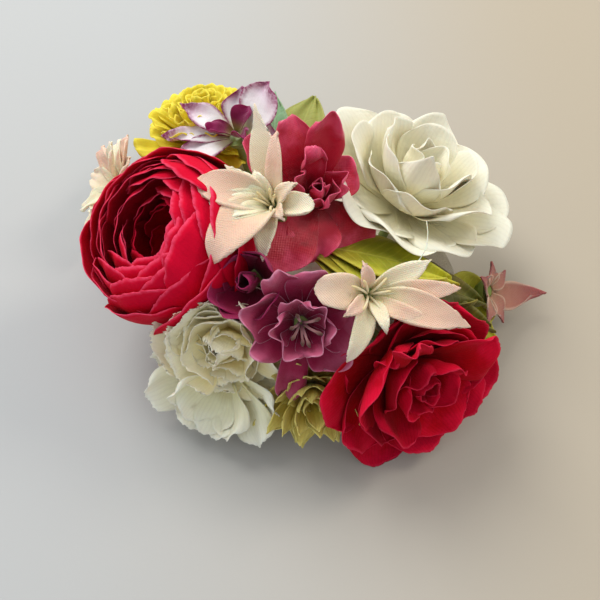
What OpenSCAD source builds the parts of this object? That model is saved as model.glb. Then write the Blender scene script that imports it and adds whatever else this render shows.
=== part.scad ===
// Flower hair clip: silk blooms glued over a felt pad, on a sprung metal alligator clip.
// +X runs along the clip towards the jaw tips, +Y is the back of the arrangement, +Z is up.
// The clip's thumb tab and the lowest petals stand on z = 0.

/* [Felt pad] */
// Length of the felt pad
felt_l = 100; // [90:1:106]
// Width of the felt pad
felt_w = 56; // [50:1:60]
// Thickness of the felt that the blooms are glued to
felt_t = 1.5; // [1:0.1:2]
// Height of the pad's upper face above the table
felt_top = 13.5; // [13:0.1:15]

/* [Clip] */
// Thickness of the clip's sheet steel
sheet_t = 0.8; // [0.6:0.1:1]
// Width of the fixed jaw
jaw_w = 9; // [8:0.5:10]
// Distance from the pivot to the tips of the jaws
beak_l = 44; // [40:1:46]
// Distance from the pivot to the end of the thumb tab
handle_l = 31; // [29:1:32]
// Radius of the hinge pin
pin_r = 0.75; // [0.6:0.05:0.9]
// Running clearance between the pin and the lever
pin_play = 0.05; // [0.03:0.01:0.08]
// Wire thickness of the torsion spring
wire_d = 0.8; // [0.6:0.1:0.9]

/* [Blooms] */
// Thickness of a fabric petal layer
petal_t = 0.7; // [0.5:0.1:0.9]
// Radius of a moulded stem
stem_r = 1.3; // [1:0.1:1.5]
// Radius of a calyx where it meets its petals
calyx_r = 3.6; // [3:0.2:4]
// Depth of a calyx
calyx_h = 4; // [3:0.5:5]
// Radius of the mound of hot glue that holds the stems
glue_r = 19; // [17:0.5:20]

/* [Hidden] */
$fn = 48;
eps = 0.01;
degree = PI / 180;

// Where each bloom sits: [x, y, z of the seat where petals meet calyx, facing, tilt from +Z]
ranunculus_at = [-9, -18, 19, -125, 35];
rose_at = [21.5, 23, 25, 60, 22];
peony_at = [44.5, -16, 20, -25, 72];
satin_at = [7.5, 1, 39, -25, 20];
carnation_at = [7.5, -35, 22.5, -65, 54];
low_bloom_at = [11.5, -42, 15, -80, 85];
plum_at = [24.5, -29, 36, -50, 48];
plum_bud_at = [9.5, -27, 38, -75, 40];
star_top_at = [4.5, -12, 47, -100, 22];
star_left_at = [-51, -12, 16, -145, 60];
star_front_at = [35, -17, 41.5, -25, 35];
star_right_at = [53.5, 17, 17, 10, 60];
orchid_at = [-25.5, 11.5, 33.5, -140, 10];
mum_yellow_at = [-40.5, 15.5, 18, 140, 15];
mum_green_at = [30.5, -33, 17, -50, 75];

pivot_x = -6;
pivot_z = 7.6;
under_felt = felt_top - felt_t;
plate_z = under_felt - sheet_t;
ear_w = 0.8;
lever_w = 7;
glue_half_l = 21;
glue_axis_z = 4;

// ---- Shapes that repeat ----

// An arc in the (radius, height) half-plane that leaves [r0, z0] at angle a0 and ends at angle a1
function arc_point(r0, z0, length, a0, a1, s) =
    let (turn = (a1 - a0) * degree, bend_r = length / turn, a = a0 + (a1 - a0) * s)
    [r0 + bend_r * (sin(a) - sin(a0)), z0 + bend_r * (cos(a0) - cos(a))];

// The same arc, moved sideways by d along its normal
function arc_offset(r0, z0, length, a0, a1, s, d) =
    let (p = arc_point(r0, z0, length, a0, a1, s), a = a0 + (a1 - a0) * s)
    [p[0] - d * sin(a), p[1] + d * cos(a)];

// One die-cut layer of petals: a thin bowl of revolution with a notch between neighbouring petals
// A sector of open_half degrees either side of open_at is left out where a neighbour crowds the bloom
module petal_layer(count, notch_w, notch_r, length, a0, a1, z0 = 0, hub_r = 3, phase = 0, steps = 6,
        open_at = 180, open_half = 0) {
    outer = [for (i = [0:steps]) arc_offset(hub_r, z0, length, a0, a1, i / steps, 0)];
    inner = [for (i = [steps:-1:0]) arc_offset(hub_r, z0, length, a0, a1, i / steps, petal_t)];
    difference() {
        rotate_extrude() polygon(concat([[0, z0]], outer, inner, [[0, z0 + petal_t]]));
        for (i = [0:count - 1])
            rotate([0, 0, phase + (i + 0.5) * 360 / count])
                translate([0, 0, z0 - 8])
                    linear_extrude(height = 60)
                        polygon([[notch_r, -0.15], [50, -notch_w], [50, notch_w], [notch_r, 0.15]]);
        if (open_half > 0)
            rotate([0, 0, open_at])
                translate([0, 0, z0 - 8])
                    linear_extrude(height = 60)
                        polygon([[hub_r, 0], [60 * cos(open_half), -60 * sin(open_half)], [90, 0],
                            [60 * cos(open_half), 60 * sin(open_half)]]);
    }
}

// Stems run down to the felt, or as far into the glue as their length allows
function stem_length(at) = min((at[2] - felt_top) / cos(at[4]), 30 - at[4] / 5) - calyx_h;

// The calyx and stem of a bloom, hanging below its seat
module calyx_shape(at) {
    stem_l = max(1, stem_length(at));
    rotate_extrude()
        polygon([[0, 0], [calyx_r, 0], [calyx_r * 0.8, -calyx_h * 0.5], [stem_r, -calyx_h],
            [stem_r, -calyx_h - stem_l], [0, -calyx_h - stem_l]]);
}

// Puts a child at a bloom's seat, with +Z along the way the bloom faces
module at_seat(at) {
    translate([at[0], at[1], at[2]])
        rotate([0, 0, at[3]])
            rotate([0, at[4], 0])
                children();
}

// A calyx in place, cut off where its stem meets the felt
module calyx(at, tone = "olivedrab") {
    color(tone)
        difference() {
            at_seat(at) calyx_shape(at);
            translate([-80, -80, felt_top - 60]) cube([160, 160, 60]);
        }
}

// Stamens standing on a small button: a ring of splayed filaments
module stamens(count, length, splay, button_r = 1.5, button_h = 1.2, thread_r = 0.4) {
    cylinder(r = button_r, h = button_h);
    for (i = [0:count - 1])
        rotate([0, 0, i * 360 / count])
            translate([button_r * 0.55, 0, button_h - 0.3])
                rotate([0, splay, 0])
                    cylinder(r = thread_r, h = length, $fn = 16);
}

// A leaf blade from base to tip along +X, drooping on a bend of radius bend_r
function leaf_half_width(s, width) = width / 2 * pow(sin(180 * pow(s, 0.8)), 0.8);
module leaf_blade(length, width, bend_r, steps = 8) {
    upper = [for (i = [0:steps]) [length * i / steps, leaf_half_width(i / steps, width) + 0.4]];
    lower = [for (i = [steps:-1:0]) [length * i / steps, -leaf_half_width(i / steps, width) - 0.4]];
    intersection() {
        translate([0, 0, -bend_r])
            rotate([90, 0, 0])
                difference() {
                    cylinder(r = bend_r, h = width + 4, center = true);
                    cylinder(r = bend_r - petal_t, h = width + 6, center = true);
                }
        translate([0, 0, -bend_r])
            linear_extrude(height = bend_r + 5)
                polygon(concat(upper, lower));
    }
}

// Places a leaf by its base, the heading and pitch of its midrib, and its roll
module leaf_at(base, heading, pitch, roll) {
    translate(base)
        rotate([0, 0, heading])
            rotate([0, -pitch, 0])
                rotate([roll, 0, 0])
                    children();
}

// ---- Pad and glue ----

module pad_outline(inset = 0) {
    end_x = felt_l / 2 - felt_w / 2;
    for (side = [-1, 1])
        translate([side * end_x, 0]) circle(r = felt_w / 2 - inset);
    square([2 * end_x, felt_w - 2 * inset], center = true);
}

module felt_base() {
    color("ivory")
        translate([0, 0, under_felt])
            linear_extrude(height = felt_t) pad_outline();
}

// Thin felt that frames the fixed jaw, so that no steel edge touches the head
module felt_backing() {
    color("ivory")
        translate([0, 0, plate_z])
            linear_extrude(height = sheet_t)
                difference() {
                    pad_outline(1);
                    fixed_jaw_outline(0.1);
                }
}

module glue_mound() {
    translate([0, 0, glue_axis_z]) {
        rotate([0, 90, 0]) cylinder(r = glue_r, h = 2 * glue_half_l, center = true);
        for (side = [-1, 1])
            translate([side * glue_half_l, 0, 0]) sphere(r = glue_r);
    }
}

module glue_core() {
    color("floralwhite")
        difference() {
            glue_mound();
            translate([-80, -80, felt_top - 60]) cube([160, 160, 60]);
            for (at = [ranunculus_at, rose_at, peony_at, satin_at, carnation_at, low_bloom_at, plum_at,
                    plum_bud_at, star_top_at, star_left_at, star_front_at, star_right_at, orchid_at,
                    mum_yellow_at, mum_green_at])
                at_seat(at) calyx_shape(at);
        }
}

// ---- Clip ----

module fixed_jaw_outline(grow = 0) {
    tip_x = pivot_x + beak_l;
    half = jaw_w / 2 + grow;
    polygon([[-32 - grow, -half], [12, -half], [tip_x + grow, -2.6 - grow], [tip_x + grow, 2.6 + grow],
        [12, half], [-32 - grow, half]]);
}

module fixed_ear() {
    rotate([90, 0, 0])
        difference() {
            union() {
                cylinder(r = 2.8, h = ear_w, center = true);
                translate([-2.8, 0, -ear_w / 2]) cube([5.6, plate_z + 0.4 - pivot_z, ear_w]);
            }
            cylinder(r = pin_r, h = 3 * ear_w, center = true);
        }
}

// Fixed jaw: a flat plate glued to the felt, two ears for the pin and a row of teeth at the tip
module fixed_jaw() {
    color("silver") {
        union() {
            translate([0, 0, plate_z])
                linear_extrude(height = sheet_t) fixed_jaw_outline();
            for (side = [-1, 1])
                translate([pivot_x, side * (jaw_w / 2 - ear_w / 2), pivot_z]) fixed_ear();
            for (i = [0:2])
                translate([pivot_x + beak_l - 1.5 - 2 * i, 0, plate_z])
                    rotate([90, 0, 0])
                        linear_extrude(height = 4.4, center = true)
                            polygon([[-0.7, 0.1], [0, -0.7], [0.7, 0.1]]);
        }
    }
}

// Side view of the lever: thumb tab, handle, a low bridge under the pin, then an arched beak
tail_x = pivot_x - handle_l;
beak_x = pivot_x + beak_l;
lever_profile = [[tail_x, 0], [tail_x + 6, 0], [-14, 3.4], [pivot_x, 4.2], [4, 4.0], [14, 4.2], [24, 5.6],
    [beak_x - 6, 8.0], [beak_x - 1.5, 9.5], [beak_x, 9.6], [beak_x, 10.4], [beak_x - 1.8, 10.3],
    [beak_x - 6.3, 8.8], [23.8, 6.4], [14, 5.0], [4, 4.8], [pivot_x, 5.0], [-14.2, 4.2], [tail_x + 5.9, 0.8],
    [tail_x, 0.8]];
lever_plan = [[tail_x, -4.5], [tail_x + 10, -4.5], [-18, -3.5], [16, -3.5], [beak_x, -2.4], [beak_x, 2.4],
    [16, 3.5], [-18, 3.5], [tail_x + 10, 4.5], [tail_x, 4.5]];

module lever_ear() {
    rotate([90, 0, 0])
        difference() {
            union() {
                cylinder(r = 2.4, h = ear_w, center = true);
                translate([-2.4, 4.4 - pivot_z, -ear_w / 2]) cube([4.8, pivot_z - 4.4, ear_w]);
            }
            cylinder(r = pin_r + pin_play, h = 3 * ear_w, center = true);
        }
}

// Lever jaw: pinch its tab towards the pad and the beak swings down and away
module lever_jaw() {
    color("silver")
        union() {
            intersection() {
                rotate([90, 0, 0]) linear_extrude(height = 12, center = true) polygon(lever_profile);
                translate([0, 0, -1]) linear_extrude(height = 14) polygon(lever_plan);
            }
            for (side = [-1, 1])
                translate([pivot_x, side * (lever_w / 2 - ear_w / 2), pivot_z]) lever_ear();
        }
}

module hinge_pin() {
    color("gainsboro")
        translate([pivot_x, 0, pivot_z])
            rotate([90, 0, 0])
                union() {
                    cylinder(r = pin_r, h = jaw_w, center = true);
                    for (side = [-1, 1])
                        translate([0, 0, side * (jaw_w / 2 + 0.25)]) cylinder(r = 1.3, h = 0.5, center = true);
                }
}

coil_r = pin_r + 0.5 + wire_d / 2;
coil_pitch = wire_d + 0.05;

module coil_turn(i) {
    translate([pivot_x, -1.7 + i * coil_pitch, pivot_z])
        rotate([90, 0, 0])
            rotate_extrude() translate([coil_r, 0]) circle(r = wire_d / 2, $fn = 32);
}

// A straight leg of the spring, leaving its coil turn at height dz and sloping towards the handle
module spring_leg(i, dz, slope, length) {
    translate([pivot_x, -1.7 + i * coil_pitch, pivot_z + dz])
        rotate([0, -90 + slope, 0])
            cylinder(r = wire_d / 2, h = length, $fn = 32);
}

// The turns and the leg that press on the fixed jaw
module spring_coil() {
    color("darkgray")
        union() {
            for (i = [0:3]) coil_turn(i);
            spring_leg(0, coil_r - 0.15, 7, 13);
        }
}

// The last turn and the leg that press on the lever
module spring_lever_leg() {
    color("darkgray")
        union() {
            coil_turn(4);
            spring_leg(4, -coil_r + 0.15, -9, 13);
        }
}

// ---- Blooms ----

module ranunculus_outer_petals() {
    color("crimson")
        at_seat(ranunculus_at) petal_layer(5, 0.6, 12, 36, 6, 118, open_at = 80, open_half = 30);
}
module ranunculus_inner_petals() {
    color("crimson")
        at_seat(ranunculus_at) {
            petal_layer(5, 0.6, 9, 28, 8, 122, z0 = 1.4, phase = 30);
            petal_layer(4, 0.6, 7, 20, 10, 122, z0 = 2.8, phase = 10);
        }
}
module ranunculus_heart() {
    color("darkred")
        at_seat(ranunculus_at) translate([0, 0, 3.6]) rotate_extrude()
            polygon([[0, 0], [3, 0], [5, 2], [6, 5], [5, 8], [0, 9]]);
}
module ranunculus_calyx() { calyx(ranunculus_at); }

module rose_outer_petals() {
    color("ivory")
        at_seat(rose_at) {
            petal_layer(5, 3, 13, 26, 6, 50, open_at = 178, open_half = 40);
            petal_layer(5, 2, 11, 23, 14, 66, z0 = 1.2, phase = 36, open_at = 178, open_half = 30);
        }
}
module rose_inner_petals() {
    color("ivory")
        at_seat(rose_at) {
            petal_layer(4, 1, 8, 20, 30, 90, z0 = 2.4);
            petal_layer(3, 0.8, 6, 17, 45, 100, z0 = 3.6, hub_r = 2);
        }
}
module rose_heart() {
    color("cornsilk")
        at_seat(rose_at) translate([0, 0, 4.5]) cylinder(r1 = 1.6, r2 = 2.6, h = 9);
}
module rose_calyx() { calyx(rose_at); }

module peony_outer_petals() {
    color("crimson")
        at_seat(peony_at) {
            petal_layer(5, 2, 12, 24, 8, 50);
            petal_layer(5, 1.6, 10, 21, 22, 72, z0 = 1.2, phase = 30);
        }
}
module peony_inner_petals() {
    color("firebrick")
        at_seat(peony_at) {
            petal_layer(4, 1, 7, 17, 36, 86, z0 = 2.4);
            petal_layer(3, 0.8, 5, 14, 50, 98, z0 = 3.6, hub_r = 2);
        }
}
module peony_heart() {
    color("darkred")
        at_seat(peony_at) translate([0, 0, 4.5]) cylinder(r1 = 1.6, r2 = 2.4, h = 7);
}
module peony_calyx() { calyx(peony_at); }

module satin_petals() {
    color("crimson")
        at_seat(satin_at) petal_layer(5, 2.5, 7, 16, 8, 52, open_at = -86, open_half = 38);
}
module satin_heart() {
    color("darkred")
        at_seat(satin_at) petal_layer(4, 1.5, 4, 10, 40, 92, z0 = 0.9, hub_r = 2, steps = 4);
}
module satin_calyx() { calyx(satin_at); }

module carnation_petals() {
    color("ivory")
        at_seat(carnation_at) {
            petal_layer(5, 1.5, 8, 12, 10, 40, steps = 4, open_at = 20, open_half = 70);
            petal_layer(5, 1.5, 6, 10, 25, 64, z0 = 1.2, phase = 36, steps = 4, open_at = 20,
                open_half = 60);
            petal_layer(4, 1.2, 4, 9, 45, 90, z0 = 2.4, hub_r = 2, steps = 4);
        }
}
module carnation_calyx() { calyx(carnation_at); }

module low_bloom_petals() {
    color("honeydew")
        at_seat(low_bloom_at) petal_layer(5, 3, 6, 13.5, 8, 46, steps = 4, open_half = 98);
}
module low_bloom_calyx() { calyx(low_bloom_at); }

module plum_petals() {
    color("mediumvioletred")
        at_seat(plum_at) {
            petal_layer(6, 2, 6, 11, 8, 40, steps = 4, open_at = 100, open_half = 46);
            petal_layer(5, 1.6, 5, 9, 30, 72, z0 = 1.2, phase = 36, hub_r = 2.6, steps = 4, open_at = 100,
                open_half = 46);
        }
}
module plum_stamens() {
    color("thistle")
        at_seat(plum_at) translate([0, 0, 1.9]) stamens(5, 5, 22, button_r = 1.4);
}
module plum_calyx() { calyx(plum_at); }

module plum_bud_petals() {
    color("mediumvioletred")
        at_seat(plum_bud_at) petal_layer(5, 1.6, 4, 9, 30, 84, hub_r = 2, steps = 4);
}
module plum_bud_calyx() { calyx(plum_bud_at); }

// A star bloom: narrow petals that lift from the hub and bend outwards, with short upright ones inside
module star_petals(count, length, lift, droop, open_at = 0, open_half = 0) {
    gap = 25;
    petal_layer(count, gap, 3.4, length, lift, droop, hub_r = 3, steps = 4,
        open_at = open_at, open_half = open_half);
    petal_layer(count, gap * 0.8, 2.6, length * 0.5, lift + 30, lift + 10, z0 = 1.2, hub_r = 2,
        phase = 180 / count, steps = 3, open_at = open_at, open_half = open_half);
}
module star_top_petals() {
    color("ivory") at_seat(star_top_at) star_petals(7, 16, 34, 4, open_at = -40, open_half = 46);
}
module star_top_stamens() {
    color("cornsilk") at_seat(star_top_at) translate([0, 0, 1.9]) stamens(3, 4, 10, button_r = 1.2);
}
module star_top_calyx() { calyx(star_top_at); }

module star_left_petals() {
    color("ivory") at_seat(star_left_at) star_petals(7, 16, 30, 6);
}
module star_left_calyx() { calyx(star_left_at); }

module star_front_petals() {
    color("ivory") at_seat(star_front_at) star_petals(6, 12, 34, 14, open_half = 48);
}
module star_front_stamens() {
    color("cornsilk") at_seat(star_front_at) translate([0, 0, 1.9]) stamens(4, 5, 16, button_r = 1.2);
}
module star_front_calyx() { calyx(star_front_at); }

module star_right_petals() {
    color("mistyrose") at_seat(star_right_at) star_petals(5, 14, 16, 2, open_at = -130, open_half = 85);
}
module star_right_calyx() { calyx(star_right_at); }

module orchid_petals() {
    color("lavenderblush")
        at_seat(orchid_at) petal_layer(5, 6, 4, 12, 18, -12, steps = 4);
}
module orchid_lip() {
    color("darkmagenta")
        at_seat(orchid_at) translate([0, 0, 0.8]) cylinder(r1 = 1.2, r2 = 2.4, h = 5);
}
module orchid_calyx() { calyx(orchid_at); }

// A pompom bloom: rings of small florets, each ring steeper than the one outside it
module pompom(radius) {
    petal_layer(12, 2.5, radius * 0.5, radius * 0.9, 4, 50, steps = 4);
    petal_layer(10, 2, radius * 0.4, radius * 0.75, 20, 70, z0 = 1.2, phase = 15, steps = 4);
    petal_layer(8, 1.5, radius * 0.3, radius * 0.6, 40, 90, z0 = 2.4, hub_r = 2, steps = 4);
    translate([0, 0, 3.3]) cylinder(r1 = 1.6, r2 = 3, h = radius * 0.5);
}
module mum_yellow_florets() {
    color("gold") at_seat(mum_yellow_at) pompom(16);
}
module mum_yellow_calyx() { calyx(mum_yellow_at); }
module mum_green_florets() {
    color("yellowgreen") at_seat(mum_green_at) pompom(11);
}
module mum_green_calyx() { calyx(mum_green_at); }

// ---- Leaves ----

module leaf_front_low() {
    color("yellowgreen") leaf_at([16.5, -9.5, 34], 16, 6, -25) leaf_blade(28, 11, 60);
}
module leaf_front_mid() {
    color("olivedrab") leaf_at([17.5, -6, 34], 28, 10, -20) leaf_blade(28, 13, 50);
}
module leaf_front_dark() {
    color("darkolivegreen") leaf_at([30.5, -2, 29], 27, 3, -10) leaf_blade(24, 11, 50);
}
module leaf_back_wide() {
    color("yellowgreen") leaf_at([-16, 17, 16], 101, 34, 10) leaf_blade(29, 15, 40);
}
module leaf_back_tip() {
    color("seagreen") leaf_at([-19, 19, 20], 125, 38, 0) leaf_blade(20, 7, 40);
}
module leaf_right() {
    color("yellowgreen") leaf_at([43.5, 5, 19], 6, -10, 0) leaf_blade(19, 12, 30);
}
module leaf_under() {
    color("olive") leaf_at([28.5, -23, 25], 17, -26, 0) leaf_blade(12, 8, 40);
}

felt_base();
felt_backing();
glue_core();
fixed_jaw();
lever_jaw();
hinge_pin();
spring_coil();
spring_lever_leg();
ranunculus_outer_petals();
ranunculus_inner_petals();
ranunculus_heart();
ranunculus_calyx();
rose_outer_petals();
rose_inner_petals();
rose_heart();
rose_calyx();
peony_outer_petals();
peony_inner_petals();
peony_heart();
peony_calyx();
satin_petals();
satin_heart();
satin_calyx();
carnation_petals();
carnation_calyx();
low_bloom_petals();
low_bloom_calyx();
plum_petals();
plum_stamens();
plum_calyx();
plum_bud_petals();
plum_bud_calyx();
star_top_petals();
star_top_stamens();
star_top_calyx();
star_left_petals();
star_left_calyx();
star_front_petals();
star_front_stamens();
star_front_calyx();
star_right_petals();
star_right_calyx();
orchid_petals();
orchid_lip();
orchid_calyx();
mum_yellow_florets();
mum_yellow_calyx();
mum_green_florets();
mum_green_calyx();
leaf_front_low();
leaf_front_mid();
leaf_front_dark();
leaf_back_wide();
leaf_back_tip();
leaf_right();
leaf_under();
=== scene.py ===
"""Flower hair clip: cloth blooms and leaves on a felt pad, with a sprung alligator clip underneath.

Lengths in this file are millimetres and angles are degrees, unless a name ends in _m. Every bloom is built in
its own frame: its seat is the flat top of its CAD calyx, and its axis is that face's normal. A petal's azimuth
is measured about that axis, from the right of the main view (0) through its top (90) and left (180).
"""
import math
import random

import bpy
import numpy as np
from mathutils import Matrix, Vector


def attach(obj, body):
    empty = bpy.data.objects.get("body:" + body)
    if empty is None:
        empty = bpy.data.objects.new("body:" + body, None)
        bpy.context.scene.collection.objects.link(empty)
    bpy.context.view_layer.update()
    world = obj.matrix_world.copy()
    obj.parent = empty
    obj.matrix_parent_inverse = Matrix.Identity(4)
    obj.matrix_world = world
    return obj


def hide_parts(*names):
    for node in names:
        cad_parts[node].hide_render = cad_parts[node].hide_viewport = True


MM = 0.001
ROOT = "arrangement"
VIEW_AZIMUTH = 35.0
VIEW_ELEVATION = 55.0
CAMERA_DISTANCE = 222
TURN = 6.283            # one full turn of a material's sine pattern
FLOCKED_WEAVE = 10.5    # weave of the thick star cloth, in radians to the mm
LEAF_WEAVE = 18.0       # and of the leaf cloth
PHASE_END = 6.3         # random phases are drawn from 0 to just over a full turn
CURL_FROM = 0.72        # where along its length a petal's tip begins to curl
TABLE_BEND = 2.0        # below this height, cloth turns to lie along the table
FLOOR_HALF_M = 3.0

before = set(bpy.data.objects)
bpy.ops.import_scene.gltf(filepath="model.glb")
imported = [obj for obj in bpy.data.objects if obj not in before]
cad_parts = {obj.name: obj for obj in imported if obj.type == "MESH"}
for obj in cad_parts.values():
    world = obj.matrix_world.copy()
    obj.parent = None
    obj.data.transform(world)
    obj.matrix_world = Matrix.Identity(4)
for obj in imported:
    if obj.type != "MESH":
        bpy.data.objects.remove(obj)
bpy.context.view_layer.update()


# ---------------------------------------------------------------- camera

def direction(azimuth, elevation):
    """From the object towards a viewer at that azimuth and elevation."""
    a, e = math.radians(azimuth), math.radians(elevation)
    return Vector((math.sin(a) * math.cos(e), -math.cos(a) * math.cos(e), math.sin(e)))


VIEW_BACK = direction(VIEW_AZIMUTH, VIEW_ELEVATION)
VIEW_RIGHT = Vector((math.cos(math.radians(VIEW_AZIMUTH)), math.sin(math.radians(VIEW_AZIMUTH)), 0))


def make_camera():
    aim = Vector((10.5, -8, 20)) * MM
    data = bpy.data.cameras.new("Camera")
    data.lens = 50
    data.sensor_width = 36
    data.shift_x = -0.005
    data.shift_y = -0.047
    data.clip_start = 0.01
    camera = bpy.data.objects.new("Camera", data)
    bpy.context.scene.collection.objects.link(camera)
    camera.location = aim + VIEW_BACK * (CAMERA_DISTANCE * MM)
    camera.rotation_euler = (-VIEW_BACK).to_track_quat("-Z", "Y").to_euler()
    bpy.context.scene.camera = camera


make_camera()


# ---------------------------------------------------------------- node materials

def srgb(r, g, b):
    """A colour given as 0 to 255 display values, in linear light."""
    def linear(c):
        c /= 255
        return c / 12.92 if c <= 0.04045 else ((c + 0.055) / 1.055) ** 2.4
    return (linear(r), linear(g), linear(b), 1.0)


class Nodes:
    """Short names for building a material's node tree."""

    def __init__(self, name):
        self.material = bpy.data.materials.new(name)
        self.material.use_nodes = True
        self.tree = self.material.node_tree
        self.tree.nodes.clear()
        self.out = self.add("ShaderNodeOutputMaterial")
        self.shader = self.add("ShaderNodeBsdfPrincipled")
        self.link(self.shader.outputs[0], self.out.inputs[0])

    def add(self, kind, **values):
        node = self.tree.nodes.new(kind)
        for key, value in values.items():
            setattr(node, key, value)
        return node

    def link(self, a, b):
        self.tree.links.new(a, b)

    def feed(self, socket, value):
        """Puts a number, another socket, or a colour (three 0 to 255 values, or four linear ones) on an input."""
        if isinstance(value, bpy.types.NodeSocket):
            self.link(value, socket)
        elif isinstance(value, tuple) and len(value) == 3:
            socket.default_value = srgb(*value)
        else:
            socket.default_value = value

    def math(self, operation, a, b=0.0):
        node = self.add("ShaderNodeMath", operation=operation)
        for socket, value in zip(node.inputs, (a, b)):
            self.feed(socket, value)
        return node.outputs[0]

    def plus(self, a, b):
        return self.math("ADD", a, b)

    def times(self, a, b):
        return self.math("MULTIPLY", a, b)

    def absolute(self, a):
        return self.math("ABSOLUTE", a)

    def from_midline(self, across):
        """0 on a petal's midline, 1 along its sides."""
        return self.times(self.absolute(self.math("SUBTRACT", across, 0.5)), 2.0)

    def weave(self, x_mm, y_mm, turn):
        """Threads crossing at right angles, turn radians to the mm."""
        return self.times(self.math("SINE", self.times(x_mm, turn)), self.math("SINE", self.times(y_mm, turn)))

    def step(self, value, low, high, to_low=0.0, to_high=1.0):
        """A smooth step of value from low to high."""
        node = self.add("ShaderNodeMapRange", interpolation_type="SMOOTHSTEP")
        for socket, v in zip(node.inputs, (value, low, high, to_low, to_high)):
            self.feed(socket, v)
        return node.outputs[0]

    def mix(self, factor, a, b, blend="MIX"):
        node = self.add("ShaderNodeMix", data_type="RGBA", blend_type=blend)
        self.feed(node.inputs[0], factor)
        self.feed(node.inputs[6], a)
        self.feed(node.inputs[7], b)
        return node.outputs[2]

    def attribute(self, name):
        """The three numbers of a vector attribute."""
        node = self.add("ShaderNodeAttribute", attribute_name=name)
        parts = self.add("ShaderNodeSeparateXYZ")
        self.link(node.outputs["Vector"], parts.inputs[0])
        return parts.outputs[0], parts.outputs[1], parts.outputs[2], node.outputs["Vector"]

    def noise(self, scale, detail=3.0, rough=0.55, vector=None):
        node = self.add("ShaderNodeTexNoise")
        if vector is None:
            vector = self.add("ShaderNodeTexCoord").outputs["Object"]
        self.link(vector, node.inputs["Vector"])
        node.inputs["Scale"].default_value = scale
        node.inputs["Detail"].default_value = detail
        node.inputs["Roughness"].default_value = rough
        return node.outputs[0]

    def bump(self, height, distance_mm, strength=1.0, normal=None):
        node = self.add("ShaderNodeBump")
        node.inputs["Strength"].default_value = strength
        node.inputs["Distance"].default_value = distance_mm * MM
        self.feed(node.inputs["Height"], height)
        if normal is not None:
            self.link(normal, node.inputs["Normal"])
        return node.outputs[0]

    def set(self, **values):
        for key, value in values.items():
            self.feed(self.shader.inputs[key.replace("_", " ")], value)


def cloth_material(name, base, middle, tip, edge=None, edge_share=0.7, edge_from=0.9, rough=0.7, sheen=0.25,
                   glow=0.12, vein=0.1, vein_count=9, weave=0.05, weave_mm=0.32, mottle=0.25, spread=0.12,
                   gloss=0.2):
    """Printed or satin petal cloth.

    Petals carry two vector attributes. petal_uv is (0 to 1 across, 0 to 1 from base to tip, a random number per
    petal) and cloth_mm is (mm across, mm along, the same random number), so that a weave keeps its real size.
    """
    n = Nodes(name)
    across, along, chance, _ = n.attribute("petal_uv")
    x_mm, y_mm, _, cloth = n.attribute("cloth_mm")
    blotch = n.noise(0.16, 3.0, 0.6, cloth)
    wander = n.plus(along, n.times(n.math("SUBTRACT", blotch, 0.5), mottle))
    colour = n.mix(n.step(wander, 0.0, 0.5), base, middle)
    colour = n.mix(n.step(wander, 0.5, 1.0), colour, tip)
    # veins fan out from the base
    off_centre = n.math("SUBTRACT", across, 0.5)
    wobble = n.times(n.noise(0.22, 2.0, 0.5, cloth), 2.4)
    fan = n.math("SINE", n.plus(n.times(off_centre, vein_count * TURN), wobble))
    ridge = n.math("POWER", n.absolute(fan), 6.0)
    darker = n.mix(1.0, colour, (0.62, 0.58, 0.60, 1), "MULTIPLY")
    colour = n.mix(n.times(ridge, vein * 0.5), colour, darker)
    # each petal was printed a little lighter or darker
    shade = n.plus(n.times(chance, spread), 1.0 - spread / 2)
    grey = n.add("ShaderNodeCombineColor")
    for socket in grey.inputs:
        n.feed(socket, shade)
    colour = n.mix(1.0, colour, grey.outputs[0], "MULTIPLY")
    if edge is not None:
        side = n.from_midline(across)
        rim = n.math("MAXIMUM", n.step(side, edge_from + 0.03, 1.0), n.step(along, edge_from, 1.0))
        fleck = n.step(n.noise(0.9, 2.0, 0.6, cloth), 0.30, 0.62, 0.45, 1.0)
        colour = n.mix(n.times(n.times(rim, fleck), edge_share), colour, edge)
    normal = n.bump(n.times(n.weave(x_mm, y_mm, TURN / weave_mm), 0.5), weave)
    crease = n.noise(0.30, 4.0, 0.62, cloth)
    normal = n.bump(crease, 0.55, 0.6, normal)
    normal = n.bump(n.times(ridge, -1.0), 0.10 * vein + 0.001, 1.0, normal)
    n.set(Base_Color=colour, Roughness=rough, Sheen_Weight=sheen, Sheen_Roughness=0.45,
          Subsurface_Weight=glow, Subsurface_Scale=0.0012, Specular_IOR_Level=gloss, Normal=normal)
    n.shader.inputs["Subsurface Radius"].default_value = (1.0, 0.6, 0.5)
    return n.material


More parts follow.
